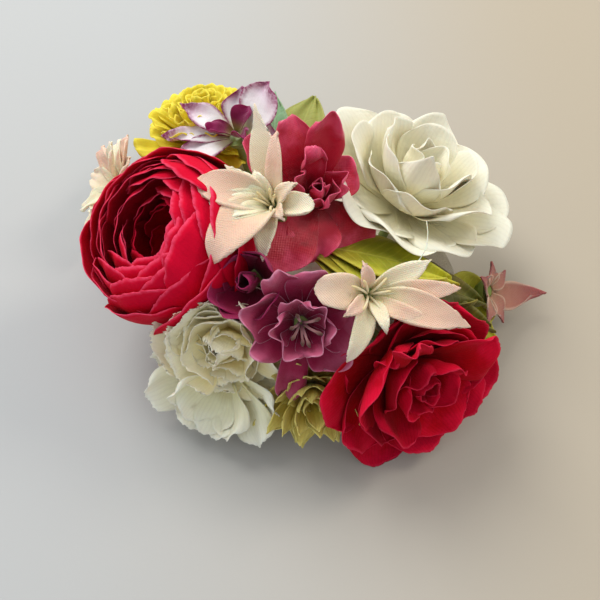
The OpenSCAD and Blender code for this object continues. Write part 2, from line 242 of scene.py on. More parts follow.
def flocked_material(name, base, middle, tip, blush_and_shade=None):
    """Thick cloth with a velvet nap: matt, softly mottled, with a painted highlight on each petal's sides, where
    the short fibres catch the light.
    """
    n = Nodes(name)
    across, along, chance, _ = n.attribute("petal_uv")
    x_mm, y_mm, _, cloth = n.attribute("cloth_mm")
    colour = n.mix(n.step(along, 0.0, 0.45), base, middle)
    colour = n.mix(n.step(along, 0.45, 1.0), colour, tip)
    if blush_and_shade is not None:
        share = n.times(n.step(chance, 0.55, 0.95), n.step(along, 0.0, 0.6))
        colour = n.mix(n.times(share, 0.55), colour, blush_and_shade)
    nap = n.noise(3.5, 3.0, 0.7, cloth)
    colour = n.mix(n.times(n.step(nap, 0.35, 0.7), 0.14), colour, (0.55, 0.45, 0.30, 1), "MULTIPLY")
    # painted highlight: the sides of each petal are lightened towards cream, where the nap catches the light
    side = n.from_midline(across)
    colour = n.mix(n.times(n.step(side, 0.75, 1.0), 0.35), colour, (240, 228, 200))
    normal = n.bump(nap, 0.16, 0.8)
    normal = n.bump(n.noise(0.5, 3.0, 0.5, cloth), 0.6, 0.5, normal)
    normal = n.bump(n.weave(x_mm, y_mm, FLOCKED_WEAVE), 0.05, 1.0, normal)
    n.set(Base_Color=colour, Roughness=0.9, Sheen_Weight=0.12, Sheen_Roughness=0.6, Subsurface_Weight=0.2,
          Subsurface_Scale=0.0012, Specular_IOR_Level=0.2, Normal=normal)
    return n.material


def leaf_material(name, base, middle, tip, edge, dark_share=0.3):
    """Printed leaf cloth: a pale midrib, slanting side veins, yellow bleeding in from the edge, dark patches."""
    n = Nodes(name)
    across, along, _, _ = n.attribute("petal_uv")
    x_mm, y_mm, _, cloth = n.attribute("cloth_mm")
    blotch = n.noise(0.14, 3.0, 0.6, cloth)
    wander = n.plus(along, n.times(n.math("SUBTRACT", blotch, 0.5), 0.9))
    colour = n.mix(n.step(wander, 0.05, 0.5), base, middle)
    colour = n.mix(n.step(wander, 0.5, 1.0), colour, tip)
    side = n.from_midline(across)
    bleed = n.step(n.plus(side, n.times(blotch, 0.3)), 0.7, 1.2)
    colour = n.mix(n.times(bleed, 0.7), colour, edge)
    slant = n.math("SUBTRACT", y_mm, n.times(n.absolute(x_mm), 0.8))
    veins = n.math("POWER", n.absolute(n.math("SINE", n.times(slant, 1.25))), 14.0)
    midrib = n.step(n.absolute(x_mm), 0.15, 0.55, 1.0, 0.0)
    lines = n.math("MAXIMUM", n.times(veins, 0.5), midrib)
    colour = n.mix(n.times(lines, 0.35), colour, edge)
    patch = n.step(n.noise(0.09, 2.0, 0.5, cloth), 0.5, 0.68)
    colour = n.mix(n.times(patch, dark_share), colour, (50, 56, 4))
    normal = n.bump(n.times(lines, -1.0), 0.14)
    normal = n.bump(n.noise(0.4, 4.0, 0.6, cloth), 0.5, 0.6, normal)
    normal = n.bump(n.weave(x_mm, y_mm, LEAF_WEAVE), 0.02, 1.0, normal)
    n.set(Base_Color=colour, Roughness=0.55, Sheen_Weight=0.05, Subsurface_Weight=0.08, Subsurface_Scale=0.001,
          Specular_IOR_Level=0.4, Normal=normal)
    return n.material


def felt_material():
    n = Nodes("Wool_Felt")
    fibres = n.noise(2600, 5.0, 0.75)
    lumps = n.noise(320, 3.0, 0.6)
    colour = n.mix(n.step(fibres, 0.35, 0.65), (214, 205, 188), (240, 234, 220))
    colour = n.mix(n.times(n.step(lumps, 0.45, 0.7), 0.35), colour, (200, 190, 172))
    normal = n.bump(lumps, 0.35, 0.7, n.bump(fibres, 0.14, 0.9))
    n.set(Base_Color=colour, Roughness=0.95, Sheen_Weight=0.5, Sheen_Roughness=0.5, Normal=normal)
    return n.material


def glue_material():
    """Set hot glue: cloudy, with flow ripples and trapped specks."""
    n = Nodes("Hot_Glue")
    flow = n.noise(130, 4.0, 0.5)
    specks = n.step(n.noise(900, 2.0, 0.6), 0.62, 0.70)
    colour = n.mix(flow, (206, 200, 178), (236, 232, 216))
    colour = n.mix(n.times(specks, 0.3), colour, (176, 166, 138))
    normal = n.bump(flow, 1.2, 0.8, n.bump(specks, 0.06, 0.5))
    n.set(Base_Color=colour, Roughness=n.step(flow, 0.3, 0.7, 0.25, 0.5), Subsurface_Weight=0.5,
          Subsurface_Scale=0.003, Coat_Weight=0.25, Coat_Roughness=0.2, Normal=normal)
    return n.material


def metal_material(name, light, dark, rough, grain):
    """Plated sheet or wire: rolling lines along X, and dulled patches."""
    n = Nodes(name)
    place = n.add("ShaderNodeTexCoord").outputs["Object"]
    stretch = n.add("ShaderNodeMapping")
    n.link(place, stretch.inputs[0])
    stretch.inputs["Scale"].default_value = (60, 4200, 900)
    lines = n.noise(1.0, 3.0, 0.6, stretch.outputs[0])
    patches = n.noise(240, 3.0, 0.6)
    colour = n.mix(n.step(lines, 0.35, 0.7), dark, light)
    colour = n.mix(n.times(n.step(patches, 0.5, 0.75), 0.3), colour, dark)
    roughness = n.plus(n.step(patches, 0.4, 0.8, rough, rough + 0.18), n.times(lines, 0.06))
    n.set(Base_Color=colour, Metallic=1.0, Roughness=roughness, Normal=n.bump(lines, grain, 0.6))
    return n.material


def plastic_material():
    """Moulded green calyx plastic, with sink marks and patchy roughness."""
    n = Nodes("Calyx_Plastic")
    lumps = n.noise(500, 3.0, 0.5)
    colour = n.mix(lumps, (92, 110, 44), (136, 152, 74))
    n.set(Base_Color=colour, Roughness=n.step(lumps, 0.3, 0.7, 0.42, 0.6), Subsurface_Weight=0.1,
          Subsurface_Scale=0.001, Normal=n.bump(lumps, 0.12, 0.5))
    return n.material


def paper_material():
    """The pale paper floor, with painted light: cool grey on the left of the view, turning to a warm tan on the
    right.
    """
    n = Nodes("Floor_Paper")
    grain = n.noise(900, 4.0, 0.6)
    cloud = n.noise(5, 2.0, 0.5)
    across = n.add("ShaderNodeVectorMath", operation="DOT_PRODUCT")
    n.link(n.add("ShaderNodeTexCoord").outputs["Object"], across.inputs[0])
    across.inputs[1].default_value = VIEW_RIGHT
    # painted light: cool grey on the left of the view, a warm tan on the right
    painted_warm_light = n.step(n.plus(across.outputs["Value"], n.times(cloud, 0.02)), -0.06, 0.12)
    colour = n.mix(painted_warm_light, (178, 180, 179), (176, 165, 145))
    n.set(Base_Color=colour, Roughness=0.9, Normal=n.bump(grain, 0.05, 0.3))
    return n.material


# ---------------------------------------------------------------- frames taken from the CAD

def node_triangles(name):
    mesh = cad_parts[name].data
    mesh.calc_loop_triangles()
    points = np.array([v.co[:] for v in mesh.vertices])
    return points[np.array([t.vertices[:] for t in mesh.loop_triangles])]


def seat_frame(calyx):
    """The bloom's frame: origin at the middle of the calyx's flat top, Z along the way the bloom faces."""
    corners = node_triangles(calyx)
    cross = np.cross(corners[:, 1] - corners[:, 0], corners[:, 2] - corners[:, 0])
    area = np.linalg.norm(cross, axis=1)
    unit = cross / np.maximum(area, 1e-15)[:, None]
    best = (0.0, None)
    for normal in unit[(area > area.max() * 0.02) & (unit[:, 2] > 0.0)]:
        same = unit @ normal > 0.9999
        best = max(best, (area[same].sum(), tuple(normal)), key=lambda b: b[0])
    axis = Vector(best[1])
    same = unit @ np.array(best[1]) > 0.9999
    flat = corners[same].reshape(-1, 3)
    origin = Vector((flat.min(axis=0) + flat.max(axis=0)) / 2)
    right = (VIEW_RIGHT - axis * VIEW_RIGHT.dot(axis)).normalized()
    up = axis.cross(right)
    turn = Matrix((right, up, axis)).transposed().to_4x4()
    return Matrix.Translation(origin) @ turn


def leaf_frame(node):
    """A leaf's frame: origin at its base end, X along the midrib, Z up through the blade; and its length in mm."""
    points = node_triangles(node).reshape(-1, 3)
    middle = points.mean(axis=0)
    _, _, axes = np.linalg.svd(points - middle, full_matrices=False)
    along, up = Vector(axes[0]), Vector(axes[2])
    reach = (points - middle) @ axes[0]
    ends = [Vector(points[reach.argmin()]), Vector(points[reach.argmax()])]
    core = Vector((0, 0, 0.02))
    if (ends[1] - core).length < (ends[0] - core).length:
        ends.reverse()
        along = -along
    if up.z < 0:
        up = -up
    side = up.cross(along)
    turn = Matrix((along, side, up)).transposed().to_4x4()
    return Matrix.Translation(ends[0]) @ turn, (ends[1] - ends[0]).length / MM


# ---------------------------------------------------------------- petals

def smooth(x, low, high):
    """0 below low, 1 above high, smooth between."""
    t = np.clip((np.asarray(x, float) - low) / (high - low), 0, 1)
    return t * t * (3 - 2 * t)


def waves(rng, x, y, size=1.0, octaves=3):
    """Smooth noise of about unit height: a few sine waves in random directions."""
    total = np.zeros(np.broadcast(x, y).shape)
    for k in range(octaves):
        for _ in range(3):
            a = rng.uniform(0, 2 * math.pi)
            f = (2 ** k) / size * rng.uniform(0.7, 1.3)
            wave = np.sin(f * (x * math.cos(a) + y * math.sin(a)) + rng.uniform(0, PHASE_END))
            total = total + wave / (2 ** k * 3)
    return total


def outline(v, neck, belly, end):
    """Half-width of a petal, as a share of its widest, at v from base (0) to tip (1)."""
    rise = neck + (1 - neck) * np.sin(np.clip(v / belly, 0, 1) * math.pi / 2) ** 1.1
    fall = end + (1 - end) * np.cos(np.clip((v - belly) / (1 - belly), 0, 1) * math.pi / 2) ** 0.9
    return np.where(v < belly, rise, fall)


def petal(rng, length, width, start, end, azimuth=0.0, base_r=2.0, base_z=0.0, neck=0.3, belly=0.62, tip=0.5,
          round_tip=0.35, point=0.0, dent=0.0, wrap=0.8, cup=12.0, curl=0.0, side_curl=0.0, ruffle=0.0,
          ruffles=2.5, jag=0.0, fray=0.0, lean=0.0, skew=0.0, lump=0.5, thick=0.18, nu=22, nv=18, fold=0.0):
    """One petal in its bloom's frame.

    The midline leaves the axis at base_r, climbs at start degrees and ends at end degrees; curl bends it back
    near the tip. neck, belly and tip shape the outline, and round_tip, point and dent its end. wrap bends the
    petal round the bloom's axis, cup hollows it by so many degrees a side, side_curl rolls its sides back, skew
    slides it sideways under its neighbour, lean slants it, fold creases it along the midline, ruffle waves its
    free edge, lump dents it, and jag and fray roughen the edge.
    Returns closed-shell vertices, faces, and the two attribute arrays.
    """
    u = np.linspace(-1, 1, nu)[None, :] * np.ones((nv, 1))
    v = (np.linspace(0, 1, nv) ** 0.9)[:, None] * np.ones((1, nu))
    half = width / 2 * outline(v, neck, belly, tip)
    edge_noise = waves(rng, u * width * 0.5, v * 0 + 3.1, 1.2, 3)
    fibre = np.array([rng.uniform(-1, 1) for _ in range(nu)])[None, :]
    side_noise = waves(rng, u * 0 + np.sign(u) * 7, v * length * 0.6, 1.2, 2)
    x = u * half + np.sign(u) * np.abs(u) ** 6 * jag * 0.6 * side_noise
    ease = v ** 3
    y = v * length
    y = y - ease * round_tip * width / 2 * np.abs(u) ** 2.2 + ease * point * width / 2 * (1 - np.abs(u)) ** 1.3
    y = y - ease * dent * np.exp(-(u / 0.22) ** 2) + v ** 8 * (jag * edge_noise + fray * fibre)
    # the midline's bend, integrated once and looked up by distance along it
    s = np.linspace(0, 1.35 * length, 160)
    share = s / length
    bend = start + (end - start) * np.minimum(share, 1.15) - curl * smooth(share, CURL_FROM, 1.08)
    angle = np.radians(bend)
    ds = s[1] - s[0]
    r_line = base_r + np.concatenate([[0], np.cumsum(np.cos(angle[:-1]) * ds)])
    z_line = base_z + np.concatenate([[0], np.cumsum(np.sin(angle[:-1]) * ds)])
    dist = np.clip(y, 0, s[-1])
    theta = np.interp(dist, s, angle)
    r, z = np.interp(dist, s, r_line), np.interp(dist, s, z_line)
    # bend across the petal
    kappa = wrap * np.abs(np.sin(theta)) / np.maximum(np.abs(r), width * 0.25)
    side_roll = np.radians(side_curl) * np.sign(u) * smooth(np.abs(u), 0.55, 1.0) * smooth(v, 0.15, 0.6)
    psi = kappa * x + np.radians(cup) * x / (width / 2) + np.radians(fold) * np.tanh(u * 6) - side_roll
    steps = np.diff(x, axis=1)
    middle = nu // 2
    cos_mid = np.cos((psi[:, 1:] + psi[:, :-1]) / 2) * steps
    sin_mid = np.sin((psi[:, 1:] + psi[:, :-1]) / 2) * steps
    zero = np.zeros((nv, 1))
    across = np.concatenate([zero, np.cumsum(cos_mid, axis=1)], axis=1)
    inward = np.concatenate([zero, np.cumsum(sin_mid, axis=1)], axis=1)
    across = across - (across[:, middle:middle + 1] + across[:, middle - 1:middle]) / 2
    inward = inward - (inward[:, middle:middle + 1] + inward[:, middle - 1:middle]) / 2
    free = smooth(v, 0.25, 1.0)
    phase = rng.uniform(0, PHASE_END)
    inward = inward + ruffle * free * np.sin(u * ruffles * math.pi + phase) * (0.4 + 0.6 * np.abs(u))
    inward = inward + lump * free * waves(rng, x, y, width * 0.30, 3)
    roll = np.radians(skew) * smooth(v, 0.0, 0.4)
    across, inward = across * np.cos(roll) - inward * np.sin(roll), across * np.sin(roll) + inward * np.cos(roll)
    across = across + lean * length * v ** 2
    px = r - np.sin(theta) * inward
    pz = z + np.cos(theta) * inward
    points = np.stack([px, across, pz], axis=-1)
    # close the sheet: offset both ways along its normal, and stitch the rim
    du = np.gradient(points, axis=1)
    dv = np.gradient(points, axis=0)
    normal = np.cross(dv, du)
    normal /= np.maximum(np.linalg.norm(normal, axis=-1, keepdims=True), 1e-9)
    top = (points - normal * thick / 2).reshape(-1, 3)
    bottom = (points + normal * thick / 2).reshape(-1, 3)
    turn = math.radians(azimuth)
    rotate = np.array([[math.cos(turn), math.sin(turn), 0], [-math.sin(turn), math.cos(turn), 0], [0, 0, 1]])
    vertices = np.concatenate([top, bottom]) @ rotate
    count = nu * nv
    index = np.arange(count).reshape(nv, nu)
    a, b, c, d = index[:-1, :-1], index[:-1, 1:], index[1:, 1:], index[1:, :-1]
    upper = np.stack([a, b, c, d], axis=-1).reshape(-1, 4)
    lower = np.stack([a, d, c, b], axis=-1).reshape(-1, 4) + count
    rim = np.concatenate([index[0, :], index[1:, -1], index[-1, -2::-1], index[-2:0:-1, 0]])
    after = np.roll(rim, -1)
    wall = np.stack([rim, rim + count, after + count, after], axis=-1)
    faces = np.concatenate([upper, lower, wall])
    chance = rng.random()
    uv = np.stack([(u + 1) / 2, v, u * 0 + chance], axis=-1).reshape(-1, 3)
    cloth = np.stack([x, y, u * 0 + chance * 40], axis=-1).reshape(-1, 3)
    return vertices, faces, np.tile(uv, (2, 1)), np.tile(cloth, (2, 1))


def strand(path, radius, sides=8, chance=0.5):
    """A closed tube along a list of points (mm), with the petals' attributes. radius is a number or a list."""
    path = np.array(path, float)
    radii = np.broadcast_to(np.asarray(radius, float), (len(path),))
    tangent = np.gradient(path, axis=0)
    tangent /= np.linalg.norm(tangent, axis=1)[:, None]
    guide = np.array([0.31, 0.17, 0.93])
    side = np.cross(tangent, guide)
    side /= np.linalg.norm(side, axis=1)[:, None]
    other = np.cross(tangent, side)
    turns = np.linspace(0, 2 * math.pi, sides, endpoint=False)
    circle = np.cos(turns)[None, :, None] * side[:, None, :] + np.sin(turns)[None, :, None] * other[:, None, :]
    vertices = (path[:, None, :] + circle * radii[:, None, None]).reshape(-1, 3)
    faces = []
    for i in range(len(path) - 1):
        for j in range(sides):
            k = (j + 1) % sides
            faces.append((i * sides + j, i * sides + k, (i + 1) * sides + k, (i + 1) * sides + j))
    last = (len(path) - 1) * sides
    faces.append(tuple(range(sides - 1, -1, -1)))
    faces.append(tuple(range(last, last + sides)))
    share = np.repeat(np.linspace(0, 1, len(path)), sides)
    uv = np.stack([share * 0 + 0.5, share, share * 0 + chance], axis=-1)
    cloth = np.stack([np.tile(turns * radii.mean(), len(path)), share * 8, share * 0 + chance], axis=-1)
    return vertices, faces, uv, cloth


def build(name, shells, place, material, nodes):
    """Joins shells (in mm, in the frame place) into one object that stands for the CAD nodes."""
    vertices, faces, uvs, cloths, offset = [], [], [], [], 0
    for points, polygons, uv, cloth in shells:
        vertices.append(points)
        faces += [tuple(int(i) + offset for i in f) for f in polygons]
        uvs.append(uv)
        cloths.append(cloth)
        offset += len(points)
    turn = np.array(place)
    points = np.concatenate(vertices) * MM @ turn[:3, :3].T + turn[:3, 3]
    # cloth that reaches the table bends and lies along it
    low, z = TABLE_BEND * MM, points[:, 2]
    points[:, 2] = np.where(z < low, low * np.exp((np.minimum(z, low) - low) / low), z)
    mesh = bpy.data.meshes.new(name)
    mesh.from_pydata(points.tolist(), [], faces)
    for label, rows in (("petal_uv", uvs), ("cloth_mm", cloths)):
        layer = mesh.attributes.new(label, "FLOAT_VECTOR", "POINT")
        layer.data.foreach_set("vector", np.concatenate(rows).astype(np.float32).ravel())
    mesh.polygons.foreach_set("use_smooth", [True] * len(mesh.polygons))
    mesh.update()
    piece = bpy.data.objects.new(name, mesh)
    bpy.context.scene.collection.objects.link(piece)
    mesh.materials.append(material)
    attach(piece, ROOT)
    if nodes:
        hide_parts(*nodes)
    return piece


def stand_in(node, shells, place, material):
    """A piece for one CAD node, named after it: rose_heart becomes Rose_Heart."""
    build("_".join(word.title() for word in node.split("_")), shells, place, material, [node])


def ring(rng, count, phase=0.0, jitter=6.0, size_jitter=0.06, **shape):
    """Petals spaced evenly round the axis, each a little different."""
    out = []
    for i in range(count):
        own = dict(shape)
        own["azimuth"] = phase + 360 * i / count + rng.uniform(-jitter, jitter)
        own["length"] = shape["length"] * (1 + rng.uniform(-size_jitter, size_jitter))
        own["width"] = shape["width"] * (1 + rng.uniform(-size_jitter, size_jitter))
        out.append(petal(rng, **own))
    return out


def begin(bloom):
    """A bloom's own random draws, and its seat."""
    return random.Random(bloom.replace("_", " ")), seat_frame(bloom + "_calyx")


def at(azimuth, length=None, **own):
    """A row for placed: a petal's azimuth, its length where it has its own, and what else is not common."""
    return azimuth, own if length is None else dict(own, length=length)


def placed(rng, common, rows):
    """Petals set one by one."""
    return [petal(rng, **{**common, "azimuth": azimuth, **own}) for azimuth, own in rows]


# ---------------------------------------------------------------- blooms

def ranunculus():
    rng, place = begin("ranunculus")
    cloth = cloth_material(
        "Ranunculus_Cloth", (162, 0, 14), (194, 0, 30), (208, 6, 46), edge=(244, 84, 120), sheen=0.02,
        glow=0.06, vein=0.12, edge_from=0.97, mottle=0.5, weave=0.03, gloss=0.05)
    heart = cloth_material(
        "Ranunculus_Heart_Cloth", (120, 0, 4), (160, 0, 14), (190, 0, 34), edge=(220, 40, 80), edge_share=0.4,
        sheen=0.02, glow=0.04, edge_from=0.96, gloss=0.05)
    common = dict(
        start=4, wrap=1.0, cup=0, tip=0.72, round_tip=0.22, jag=0.34, fray=0.10, lump=0.5, ruffle=0.4, nu=32,
        nv=20)
    # each cup: its radius, how far round it closes, its petals, how much their tips turn out, its height
    cups = [(21.4, 98, 5, 16, 0), (20.9, 108, 5, 8, 0.4), (20.3, 116, 5, 4, 0.8), (19.7, 123, 5, 0, 1.2),
            (19.0, 129, 5, 0, 1.6), (18.2, 134, 5, 0, 2.0), (17.3, 139, 5, 0, 2.4), (16.4, 143, 5, 0, 2.8),
            (15.4, 147, 5, 0, 3.2), (14.3, 150, 5, 0, 3.8), (13.0, 152, 4, 0, 4.6), (11.6, 151, 4, 0, 5.8),
            (10.0, 147, 4, 0, 7.4), (8.2, 140, 3, 0, 9.2), (6.2, 130, 3, 0, 11.2)]
    shells = []
    for k, (radius, reach, count, curl, height) in enumerate(cups):
        shells.append(ring(rng, count, phase=37 * k, length=math.radians(reach - 4) * radius,
            width=radius * 1.62, end=reach, base_z=height, skew=9, lean=0.05, curl=curl, **common))
    stand_in("ranunculus_outer_petals", sum(shells[:6], []), place, cloth)
    stand_in("ranunculus_inner_petals", sum(shells[6:11], []), place, cloth)
    stand_in("ranunculus_heart", sum(shells[11:], []), place, heart)


def rose():
    rng, place = begin("rose")
    cloth = cloth_material(
        "Rose_Satin", (216, 206, 154), (237, 230, 196), (242, 238, 216), rough=0.42, sheen=0.1, glow=0.2,
        vein=0.18, vein_count=7, weave=0.02, mottle=0.3, spread=0.1)
    common = dict(
        length=27, width=28, start=6, end=46, cup=14, belly=0.64, tip=0.74, round_tip=0.42, lump=1.6,
        ruffle=1.3, ruffles=1.3, curl=34, side_curl=18, nu=30, nv=24)
    outer = placed(rng, common, [
        at(8, 29, end=34), at(338, 29, width=24, end=30), at(52, 28), at(96, 27, end=52), at(136, 30, end=50),
        at(184, 25, end=44), at(224, 26, end=38), at(262, 25, end=32), at(298, 25, end=34, width=23)])
    second = placed(rng, dict(common, length=24, width=23, start=16, end=68, base_z=1.4), [
        at(25, curl=44), at(72, point=0.3), at(118, side_curl=70, curl=10), at(160, side_curl=60), at(212, 20),
        at(266, 22, curl=30, width=20), at(320, end=56, width=26)])
    inner = placed(rng, dict(common, length=21, width=19, start=30, end=86, base_z=3.0, base_r=1.6), [
        at(10, curl=36), at(70, curl=30), at(128, side_curl=90, width=12), at(190, curl=20),
        at(250, point=0.9, side_curl=46, curl=6, width=16), at(310, curl=40)])
    heart = placed(rng,
        dict(common, length=16, width=12, start=55, end=98, base_z=4.0, base_r=1.2, skew=14, curl=8),
        [at(30), at(100), at(190), at(280)])
    stand_in("rose_outer_petals", outer + second, place, cloth)
    stand_in("rose_inner_petals", inner, place, cloth)
    stand_in("rose_heart", heart, place, cloth)


def peony():
    rng, place = begin("peony")
    cloth = cloth_material(
        "Peony_Cloth", (128, 0, 4), (168, 0, 14), (204, 12, 48), edge=(226, 60, 92), edge_share=0.45,
        sheen=0.02, glow=0.05, vein=0.35, vein_count=11, mottle=0.9, edge_from=0.96, spread=0.42, gloss=0.05)
    common = dict(
        length=25, width=23, start=4, end=46, cup=10, neck=0.25, belly=0.66, tip=0.7, round_tip=0.4, lump=2.3,
        ruffle=1.3, ruffles=1.5, jag=0.4, fray=0.10, nu=32, nv=24)
    outer = placed(rng, common, [
        at(62, 20, end=22), at(24, 22), at(100, 15, width=18, end=20), at(142, 18, end=22),
        at(185, 25, width=21, end=30), at(222, 24, width=20),
        at(256, 29, width=25, end=24, ruffle=0.4, curl=-10), at(300, 26, width=26), at(338, 27)])
    outer += placed(rng, dict(common, length=23, width=22, start=14, end=60, base_z=1.3), [
        at(40, width=25, length=18), at(84, 15, end=52), at(126, width=11, length=18, end=66),
        at(172, width=24), at(222, 20), at(276, width=24), at(322), at(4, 21)])
    inner = placed(rng, dict(common, length=20, width=18, start=26, end=78, base_z=2.6, curl=14), [
        at(20, width=15, length=23, start=48, end=24, side_curl=30), at(74, width=20, length=17, end=66),
        at(112, width=9, length=24, start=54, end=22, curl=0, side_curl=40, point=0.4), at(160, 17),
        at(226, side_curl=30), at(300, width=22, end=60)])
    inner += placed(rng, dict(common, length=15, width=13, start=42, end=90, base_z=3.4, base_r=1.4, lump=1.6),
        [at(50, 17), at(118), at(204, width=16), at(262, 13), at(340)])
    heart = ring(rng, 5, **dict(common, length=11, width=8, start=60, end=100, base_z=4.2, base_r=0.8,
        ruffle=0.8, lump=1.0, nu=18, nv=14))
    stand_in("peony_outer_petals", outer, place, cloth)
    stand_in("peony_inner_petals", inner, place, cloth)
    stand_in("peony_heart", heart, place, cloth)


def satin():
    rng, place = begin("satin")
    # the pink of the tips, spread wide by the strong mottle, is partly the satin's own colour and partly painted
    # satin highlight
    cloth = cloth_material(
        "Crimson_Satin", (134, 0, 20), (190, 6, 44), (230, 76, 114), edge=(236, 96, 136), edge_share=0.5,
        rough=0.34, sheen=0.16, glow=0.05, weave=0.08, weave_mm=0.6, mottle=1.2, edge_from=0.965, gloss=0.5)
    common = dict(
        length=17, width=17, start=4, end=30, cup=14, tip=0.66, round_tip=0.5, lump=1.5, ruffle=1.4,
        ruffles=1.5, jag=0.25, fray=0.10, nu=30, nv=24)
    petals = placed(rng, common, [
        at(314, 20, width=18, start=18, end=-40, cup=-22, ruffle=0.3, lump=0.5),
        at(268, 15, width=14, start=20, end=-30), at(232, 24, width=20, start=20, end=-16, ruffle=1.6),
        at(196, 17, end=20), at(148, 22, width=13, start=10, end=40),
        at(120, 21, width=12, start=24, end=60, side_curl=30),
        at(86, 23, width=10, start=36, end=78, point=0.4, jag=0.6, side_curl=20), at(44, 13, width=13, end=56)])
    heart = placed(rng, dict(common, length=13, width=10, start=40, end=92, base_z=1.0, base_r=1.6), [
        at(108, 15, width=8, curl=60, cup=30), at(20, width=8, length=11), at(330, 10), at(250, 9),
        at(180, 12)])
    heart += ring(rng, 3, phase=60,
        **dict(common, length=8, width=7, start=60, end=110, base_z=1.4, base_r=0.8))
    stand_in("satin_petals", petals, place, cloth)
    stand_in("satin_heart", heart, place, cloth)


def carnation():
    rng, place = begin("carnation")
    cloth = cloth_material(
        "Carnation_Cloth", (240, 214, 136), (253, 239, 184), (255, 247, 214), edge=(240, 234, 212), rough=0.85,
        sheen=0.15, glow=0.2, weave=0.08, weave_mm=0.45, mottle=0.3)
    common = dict(
        length=17, width=20, start=8, end=34, cup=6, neck=0.4, belly=0.72, tip=0.86, lump=1.5, ruffle=1.4,
        ruffles=1.5, jag=0.14, fray=0.5, nu=60, nv=24)
    petals = placed(rng, common, [
        at(172, 18, width=21, start=24, end=34), at(204, 17, width=18, end=20), at(138, 17, start=44, end=58),
        at(104, 14, start=48, end=66), at(66, 13, start=44, end=60), at(28, 17), at(352, 20, width=22, end=24),
        at(322, 17), at(238, 14), at(278, 13)])
    petals += placed(rng, dict(common, length=15, width=22, start=32, end=58, base_z=1.3, wrap=0.4, ruffle=1.9,
        cup=0), [at(154, 16), at(104, 13, end=70), at(58, 13), at(14, 16), at(200, 15, end=44),
        at(240, 10, width=16), at(296, 11, width=18)])
    petals += placed(rng,
        dict(common, length=12, width=19, start=46, end=72, base_z=2.4, wrap=0.3, ruffle=1.8, cup=0),
        [at(120), at(66), at(184), at(8), at(250, 9)])
    petals += placed(rng, dict(common, length=9, width=15, start=60, end=88, base_z=3.0, base_r=1.2, wrap=0.3),
        [at(95), at(250, 8), at(160, 8)])
    petals += placed(rng,
        dict(common, length=11, width=11, start=74, end=128, base_z=3.0, base_r=2.6, wrap=0.3),
        [at(75), at(190, 10), at(318)])
    stand_in("carnation_petals", petals, place, cloth)


def low_bloom():
    rng, place = begin("low_bloom")
    cloth = cloth_material(
        "Sheer_White_Cloth", (226, 218, 156), (244, 238, 200), (252, 248, 224), edge=(242, 240, 224),
        edge_share=0.6, sheen=0.12, glow=0.25, vein=0.22, vein_count=6, spread=0.1)
    common = dict(
        length=17, width=17, start=6, end=30, cup=10, belly=0.66, tip=0.7, round_tip=0.45, lump=1.4, ruffle=1.2,
        ruffles=1.5, jag=0.25, fray=0.22, side_curl=20, nu=34, nv=22)
    petals = placed(rng, common, [
        at(166, 18, width=17), at(202, 21, side_curl=50, start=20, end=50),
        at(238, 17, width=16, start=30, end=70), at(280, 16, width=15, start=30, end=74),
        at(318, 18, width=14, side_curl=80, start=20, end=50), at(350, 15, width=12)])
    petals += placed(rng, dict(common, length=14, width=13, start=36, end=76, base_z=1.4), [
        at(185), at(222, side_curl=60), at(262, side_curl=40), at(302, side_curl=90)])
    stand_in("low_bloom_petals", petals, place, cloth)


def stamen_shells(rng, count, length, splay, base_z, thickness=0.32, head=0.5):
    """Curved filaments with a small pollen head, standing on the middle of a bloom."""
    shells = []
    for i in range(count):
        turn = 2 * math.pi * i / count + rng.uniform(-0.3, 0.3)
        lean = math.radians(splay * rng.uniform(0.6, 1.3))
        size = length * rng.uniform(0.8, 1.1)
        path = []
        for k in range(9):
            t = k / 8
            out = 0.5 + size * t * math.sin(lean * (0.6 + 0.6 * t))
            path.append((out * math.cos(turn), out * math.sin(turn), base_z + size * t * math.cos(lean * t)))
        radii = [thickness] * 7 + [head, head * 0.55]
        shells.append(strand(path, radii, 8, rng.random()))
    return shells


def plum():
    rng, place = begin("plum")
    cloth = cloth_material(
        "Plum_Cloth", (104, 0, 34), (150, 22, 66), (186, 86, 118), edge=(222, 160, 186), edge_share=0.6,
        rough=0.5, sheen=0.14, glow=0.08, vein=0.15, mottle=0.5, edge_from=0.93)
    thread = cloth_material(
        "Stamen_Thread", (150, 70, 90), (206, 150, 150), (90, 60, 50), rough=0.6, vein=0.0, weave=0.02)
    common = dict(
        length=13, width=13, start=8, end=36, cup=26, side_curl=22, neck=0.35, belly=0.64, tip=0.62,
        round_tip=0.6, lump=0.9, ruffle=1.2, ruffles=1.4, curl=22, nu=26, nv=20)
    petals = placed(rng, common, [
        at(262, 20, width=7.5, start=6, end=-30, neck=0.6, belly=0.82, tip=0.7, cup=14), at(318, 14, width=13),
        at(352, 13, width=12), at(32, 12), at(75, 14, end=50), at(116, 16, end=60, side_curl=50, width=9),
        at(165, 14, end=50), at(212, 13, end=56, side_curl=40, width=9)])
    petals += placed(rng, dict(common, length=9.5, width=9, start=34, end=78, base_z=1.2, base_r=1.6), [
        at(180, side_curl=30), at(245), at(300), at(350), at(50), at(110)])
    stand_in("plum_petals", petals, place, cloth)
    stand_in("plum_stamens", stamen_shells(rng, 7, 8.0, 24, 1.6), place, thread)


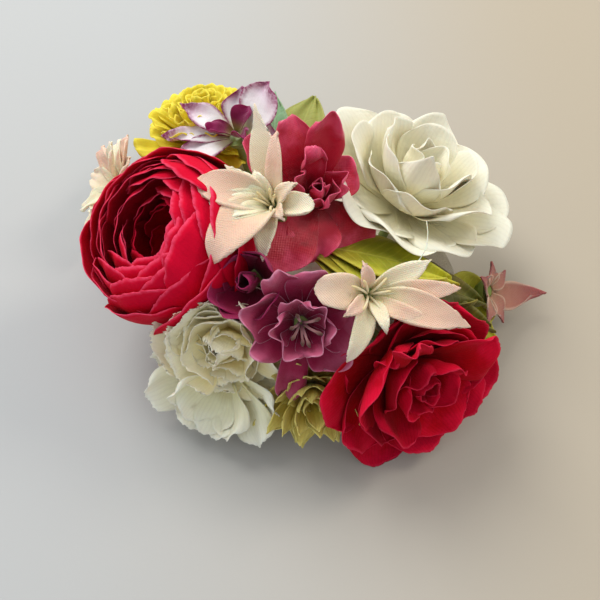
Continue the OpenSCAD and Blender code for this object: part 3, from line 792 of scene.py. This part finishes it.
def plum_bud():
    rng, place = begin("plum_bud")
    cloth = cloth_material(
        "Dark_Plum_Cloth", (80, 0, 26), (126, 2, 50), (156, 24, 84), edge=(150, 50, 90), edge_share=0.4,
        rough=0.6, sheen=0.1, glow=0.05, mottle=0.3)
    common = dict(
        length=14, width=14, start=24, end=96, neck=0.35, tip=0.66, round_tip=0.55, lump=0.6, ruffle=0.6,
        ruffles=1.5, curl=8, nu=24, nv=18)
    petals = placed(rng, common, [at(40, 12), at(135, 9), at(208, 13), at(255), at(310)])
    petals += placed(rng, dict(common, length=9, width=9, start=60, end=112, base_z=0.8, base_r=0.6), [
        at(270), at(20), at(150)])
    stand_in("plum_bud_petals", petals, place, cloth)


STAR = dict(
    length=18, width=6.5, start=30, end=0, cup=24, neck=0.42, belly=0.45, tip=0.36, round_tip=0.5, point=0.6,
    lump=0.25, jag=0.12, fray=0.14, thick=0.7, nu=16, nv=22, base_r=1.6)


def star_cloths():
    cream = flocked_material(
        "Star_Cream_Cloth", (212, 198, 142), (238, 226, 190), (246, 236, 210), blush_and_shade=(222, 156, 140))
    # painted shade: a darker, browner copy of the cream star cloth, worn by the star on the right
    blush_and_shade = flocked_material("Star_Shaded_Cloth", (170, 126, 96), (178, 120, 100), (160, 90, 86))
    return cream, blush_and_shade


def stars():
    cream, blush_and_shade = star_cloths()
    thread = cloth_material(
        "Cream_Thread", (214, 200, 150), (232, 220, 184), (226, 206, 150), vein=0.0, weave=0.02)
    rng, place = begin("star_top")
    rows = [
        at(94, 20, width=7.5, start=24, end=30, point=1.0),
        at(68, 16, width=4.5, start=60, end=10, side_curl=60, lean=0.14),
        at(168, 19, width=10, start=70, end=4, tip=0.62, point=0.1, curl=16),
        at(198, 17, width=9, start=70, end=0, tip=0.6, point=0.2, curl=24),
        at(232, 22, width=12, start=74, end=-20, tip=0.55, point=0.3, curl=30, side_curl=36),
        at(140, 13, width=5, start=64, end=30),
        at(350, 10, width=6.5, start=44, end=-20, point=0, tip=0.7, curl=20),
        at(264, 13, width=5.5, start=46, end=-20, side_curl=30)]
    rows += [at(azimuth, size, width=4.2, start=72, end=24, curl=50, side_curl=50, base_z=0.6, lump=0.5)
             for azimuth, size in ((20, 8), (112, 8), (150, 10), (184, 11), (214, 12), (250, 9), (305, 7))]
    stand_in("star_top_petals", placed(rng, STAR, rows), place, cream)
    stand_in("star_top_stamens", stamen_shells(rng, 5, 7, 22, 0.6, 0.26, 0.36), place, thread)

    rng, place = begin("star_left")
    soft = dict(
        STAR, width=10, belly=0.6, tip=0.62, point=0.1, round_tip=0.45, thick=0.24, lump=0.8, ruffle=0.6,
        start=24, end=0, nu=22)
    shells = placed(rng, soft, [
        at(200, 20, width=9, curl=20), at(176, 19), at(150, 17, width=12), at(122, 18),
        at(228, 16, width=8, point=0.5), at(92, 17, width=9), at(255, 12), at(60, 14), at(20, 9), at(310, 9)])
    shells += placed(rng, dict(soft, length=13, width=8, start=50, end=20, base_z=0.8), [
        at(190), at(135, side_curl=30), at(85, side_curl=40), at(240, 10), at(30)])
    stand_in("star_left_petals", shells, place, cream)

    rng, place = begin("star_front")
    rows = [
        at(176, 13, width=8.5, start=50, end=-34, point=0, tip=0.75, side_curl=30),
        at(252, 16, width=5, start=54, end=-50, side_curl=50),
        at(316, 14, width=4.5, start=60, end=-10, side_curl=40, lean=0.3),
        at(342, 22, width=8.5, start=44, end=-8, lump=0.6), at(4, 19, width=5.5, start=40, end=0, side_curl=30),
        at(30, 14, width=6, start=44, end=-4, side_curl=40)]
    rows += [at(azimuth, size, width=3.6, start=66, end=10, curl=40, side_curl=50, base_z=0.6)
             for azimuth, size in ((110, 7), (214, 9), (286, 9))]
    stand_in("star_front_petals", placed(rng, STAR, rows), place, cream)
    stand_in("star_front_stamens", stamen_shells(rng, 6, 6, 50, 0.6, 0.3, 0.34), place, thread)

    rng, place = begin("star_right")
    rows = [
        at(346, 18, width=8.5, start=-6, end=44, curl=-30, lean=0.2, tip=0.3), at(40, 6, width=5), at(100, 5),
        at(150, 5), at(300, 7), at(240, 7)]
    # the star on the right wears the darker copy of the star cloth: painted shade
    stand_in("star_right_petals", placed(rng, dict(STAR, thick=0.5), rows), place, blush_and_shade)


def orchid():
    rng, place = begin("orchid")
    cloth = cloth_material(
        "Orchid_Cloth", (190, 184, 130), (240, 236, 236), (236, 214, 230), edge=(132, 12, 84), edge_share=1.0,
        rough=0.5, sheen=0.1, vein=0.12, mottle=0.3, edge_from=0.68)
    lip_cloth = cloth_material(
        "Orchid_Lip_Cloth", (110, 104, 30), (112, 8, 62), (140, 16, 84), rough=0.55, sheen=0.3)
    common = dict(
        length=14, width=12, start=10, end=20, cup=8, belly=0.6, tip=0.55, round_tip=0.3, point=0.2, lump=1.3,
        ruffle=1.3, ruffles=1.4, jag=0.1, nu=24, nv=20)
    petals = placed(rng, common, [
        at(34, 15, width=16, start=24, end=56, side_curl=20, round_tip=0.1),
        at(150, 14, width=8, point=0.8, start=30), at(172, 17, width=8, point=0.9, end=0),
        at(204, 15, width=10, point=0.5, end=0), at(340, 10, width=10, end=20), at(80, 12, width=11, end=46)])
    lip = placed(rng, dict(common, length=8, width=6, start=50, end=20, base_r=0.8, base_z=0.8, cup=40), [
        at(300), at(180), at(60)])
    stand_in("orchid_petals", petals, place, cloth)
    stand_in("orchid_lip", lip, place, lip_cloth)


def pompoms():
    yellow = cloth_material(
        "Yellow_Mum_Cloth", (190, 164, 0), (226, 203, 22), (242, 224, 76), sheen=0.08, glow=0.25, vein=0.3,
        vein_count=3, weave=0.03)
    green = cloth_material(
        "Green_Mum_Cloth", (140, 118, 24), (190, 170, 66), (214, 200, 112), sheen=0.08, glow=0.25, vein=0.4,
        vein_count=3, weave=0.03)
    rng = random.Random("yellow mum")
    shape = dict(
        width=9.6, cup=18, neck=0.4, belly=0.72, tip=0.9, round_tip=0.45, dent=0.9, lump=1.1, ruffle=1.0,
        ruffles=1.8, curl=20, jag=0.2, thick=0.2, nu=18, nv=16, base_r=1.4)
    shells = []
    for k, (count, length, start, end) in enumerate([(11, 19.5, 0, 22), (11, 19, 14, 36), (11, 17.5, 26, 52),
                                                    (10, 16, 38, 68), (9, 14, 50, 80), (7, 12.5, 64, 90),
                                                    (4, 12, 78, 98)]):
        shells += ring(rng, count, phase=17 * k, jitter=10, size_jitter=0.12, length=length, start=start,
            end=end, base_z=0.7 * k, **shape)
    build("Yellow_Mum_Florets", shells, seat_frame("mum_yellow_calyx"), yellow, ["mum_yellow_florets"])
    rng = random.Random("green mum")
    shape.update(width=7, cup=26, tip=0.42, point=0.6, round_tip=0.2, dent=0, curl=0, lump=0.5, ruffle=0.3)
    shells = []
    for k, (count, length, start, end) in enumerate([(10, 15, 2, 26), (9, 13, 16, 48), (8, 11.5, 32, 68),
                                                    (6, 10, 50, 86), (3, 9, 66, 96)]):
        for i in range(count):
            azimuth = 13 * k + 360 * i / count + rng.uniform(-5, 5)
            # the peony and the plum press on the side that faces them
            free = 1.0 if 190 < azimuth % 360 < 335 else 0.62
            shells.append(petal(rng, azimuth=azimuth, length=length * free, start=start, end=end,
                base_z=0.7 * k, **shape))
    build("Green_Mum_Florets", shells, seat_frame("mum_green_calyx"), green, ["mum_green_florets"])


# ---------------------------------------------------------------- leaves

def leaves():
    lime = leaf_material("Lime_Leaf_Cloth", (140, 128, 6), (152, 154, 10), (184, 180, 34), (212, 204, 70))
    olive = leaf_material("Olive_Leaf_Cloth", (96, 60, 4), (104, 88, 6), (84, 84, 8), (140, 126, 26), 0.6)
    pale = leaf_material("Pale_Leaf_Cloth", (118, 120, 40), (142, 144, 62), (150, 154, 72), (168, 170, 90), 0.0)
    blue = leaf_material(
        "Blue_Leaf_Cloth", (90, 120, 84), (116, 154, 112), (130, 170, 128), (150, 184, 140), 0.1)
    rows = [("leaf_front_low", lime, "leaf_lime_cloth", dict(width=16, ruffle=1.0)),
        ("leaf_front_mid", lime, "leaf_lime_cloth", dict(width=18, ruffle=1.6, side_curl=20)),
        ("leaf_front_dark", olive, "leaf_olive_cloth", dict(width=18, ruffle=1.6, side_curl=30)),
        ("leaf_back_wide", pale, "leaf_lime_cloth", dict(width=17, ruffle=0.8, point=0.2)),
        ("leaf_back_tip", blue, "leaf_blue_cloth", dict(width=9, ruffle=0.4)),
        ("leaf_right", lime, "leaf_lime_cloth", dict(width=17, ruffle=0.8, cup=14, azimuth=36)),
        ("leaf_under", olive, "leaf_olive_cloth", dict(width=10, ruffle=0.5))]
    # a die-cut spray has a smaller blade beside the main one: its turn and its share of the length
    second_blades = {"leaf_front_mid": [(-20, 0.9)], "leaf_front_low": [(-16, 0.95)],
        "leaf_front_dark": [(-14, 1.15)], "leaf_right": [(14, 1.0)]}
    for node, cloth, slot, own in rows:
        rng = random.Random(node)
        place, length = leaf_frame(node)
        shape = dict(
            length=length, start=8, end=-10, base_r=0, neck=0.2, belly=0.45, tip=0.12, round_tip=0, point=0.5,
            wrap=0.0, cup=0, fold=8, lump=0.7, ruffles=2.6, jag=0.12, thick=0.3, nu=24, nv=30)
        shells = [petal(rng, **{**shape, **own})]
        for azimuth, share in second_blades.get(node, []):
            shells.append(petal(rng, **{**shape, **own, "azimuth": azimuth, "length": length * share,
                "width": own["width"] * 0.8, "base_z": -1.2}))
        stand_in(node, shells, place, cloth)


# ---------------------------------------------------------------- pad, glue and clip

def glue_thread():
    """The hair-thin string of hot glue left hanging from the rose to the front leaves."""
    knots = [(35, 10, 41), (38, 5, 43.5), (40, 1, 43.5), (40, -3, 42), (39, -7.5, 40.5)]
    path = []
    for a, b in zip(knots, knots[1:]):
        path += [[p + (q - p) * k / 6 for p, q in zip(a, b)] for k in range(6)]
    path.append(knots[-1])
    path = np.array(path, float)
    for _ in range(4):
        path[1:-1] = (path[:-2] + path[1:-1] * 2 + path[2:]) / 4
    build("Glue_Thread", [strand(path, 0.13, 6)], Matrix.Identity(4), glue_material(), [])


def carried_over():
    """Materials for the CAD nodes that keep their shape."""
    felt, glue, plastic = felt_material(), glue_material(), plastic_material()
    steel = metal_material("Nickel_Sheet", (216, 214, 208), (150, 148, 142), 0.24, 0.02)
    pin = metal_material("Bright_Pin", (226, 226, 224), (170, 170, 168), 0.12, 0.01)
    wire = metal_material("Spring_Wire", (150, 150, 152), (90, 90, 94), 0.3, 0.02)
    wearing = {"felt_base": felt, "felt_backing": felt, "glue_core": glue, "fixed_jaw": steel, "lever_jaw": steel,
               "hinge_pin": pin, "spring_coil": wire, "spring_lever_leg": wire}
    for name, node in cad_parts.items():
        if name.endswith("_calyx"):
            wearing[name] = plastic
    for name, material in wearing.items():
        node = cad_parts[name]
        for slot in node.material_slots:
            slot.material = material


# ---------------------------------------------------------------- stage

def make_stage():
    mesh = bpy.data.meshes.new("Floor")
    corners = [(x * FLOOR_HALF_M, y * FLOOR_HALF_M, 0) for x, y in ((-1, -1), (1, -1), (1, 1), (-1, 1))]
    mesh.from_pydata(corners, [], [(0, 1, 2, 3)])
    floor = bpy.data.objects.new("Floor", mesh)
    bpy.context.scene.collection.objects.link(floor)
    mesh.materials.append(paper_material())


def area_light(name, azimuth, elevation, distance_m, size_m, power, colour):
    data = bpy.data.lights.new(name, "AREA")
    data.shape = "DISK"
    data.size = size_m
    data.energy = power
    data.color = colour
    light = bpy.data.objects.new(name, data)
    bpy.context.scene.collection.objects.link(light)
    light.location = direction(azimuth, elevation) * distance_m
    light.rotation_euler = (-direction(azimuth, elevation)).to_track_quat("-Z", "Y").to_euler()


def make_lights():
    world = bpy.data.worlds.new("World")
    bpy.context.scene.world = world
    world.use_nodes = True
    sky = world.node_tree.nodes["Background"]
    sky.inputs[0].default_value = (0.92, 0.95, 1.0, 1)
    sky.inputs[1].default_value = 0.72
    area_light("Window", 254, 52, 0.9, 0.55, 6.0, (1.0, 0.985, 0.96))
    area_light("Lamp", 150, 42, 1.1, 0.35, 3.2, (1.0, 0.90, 0.78))
    bpy.context.scene.view_settings.view_transform = "Standard"


ranunculus()
rose()
peony()
satin()
carnation()
low_bloom()
plum()
plum_bud()
stars()
orchid()
pompoms()
leaves()
glue_thread()
carried_over()
make_stage()
make_lights()
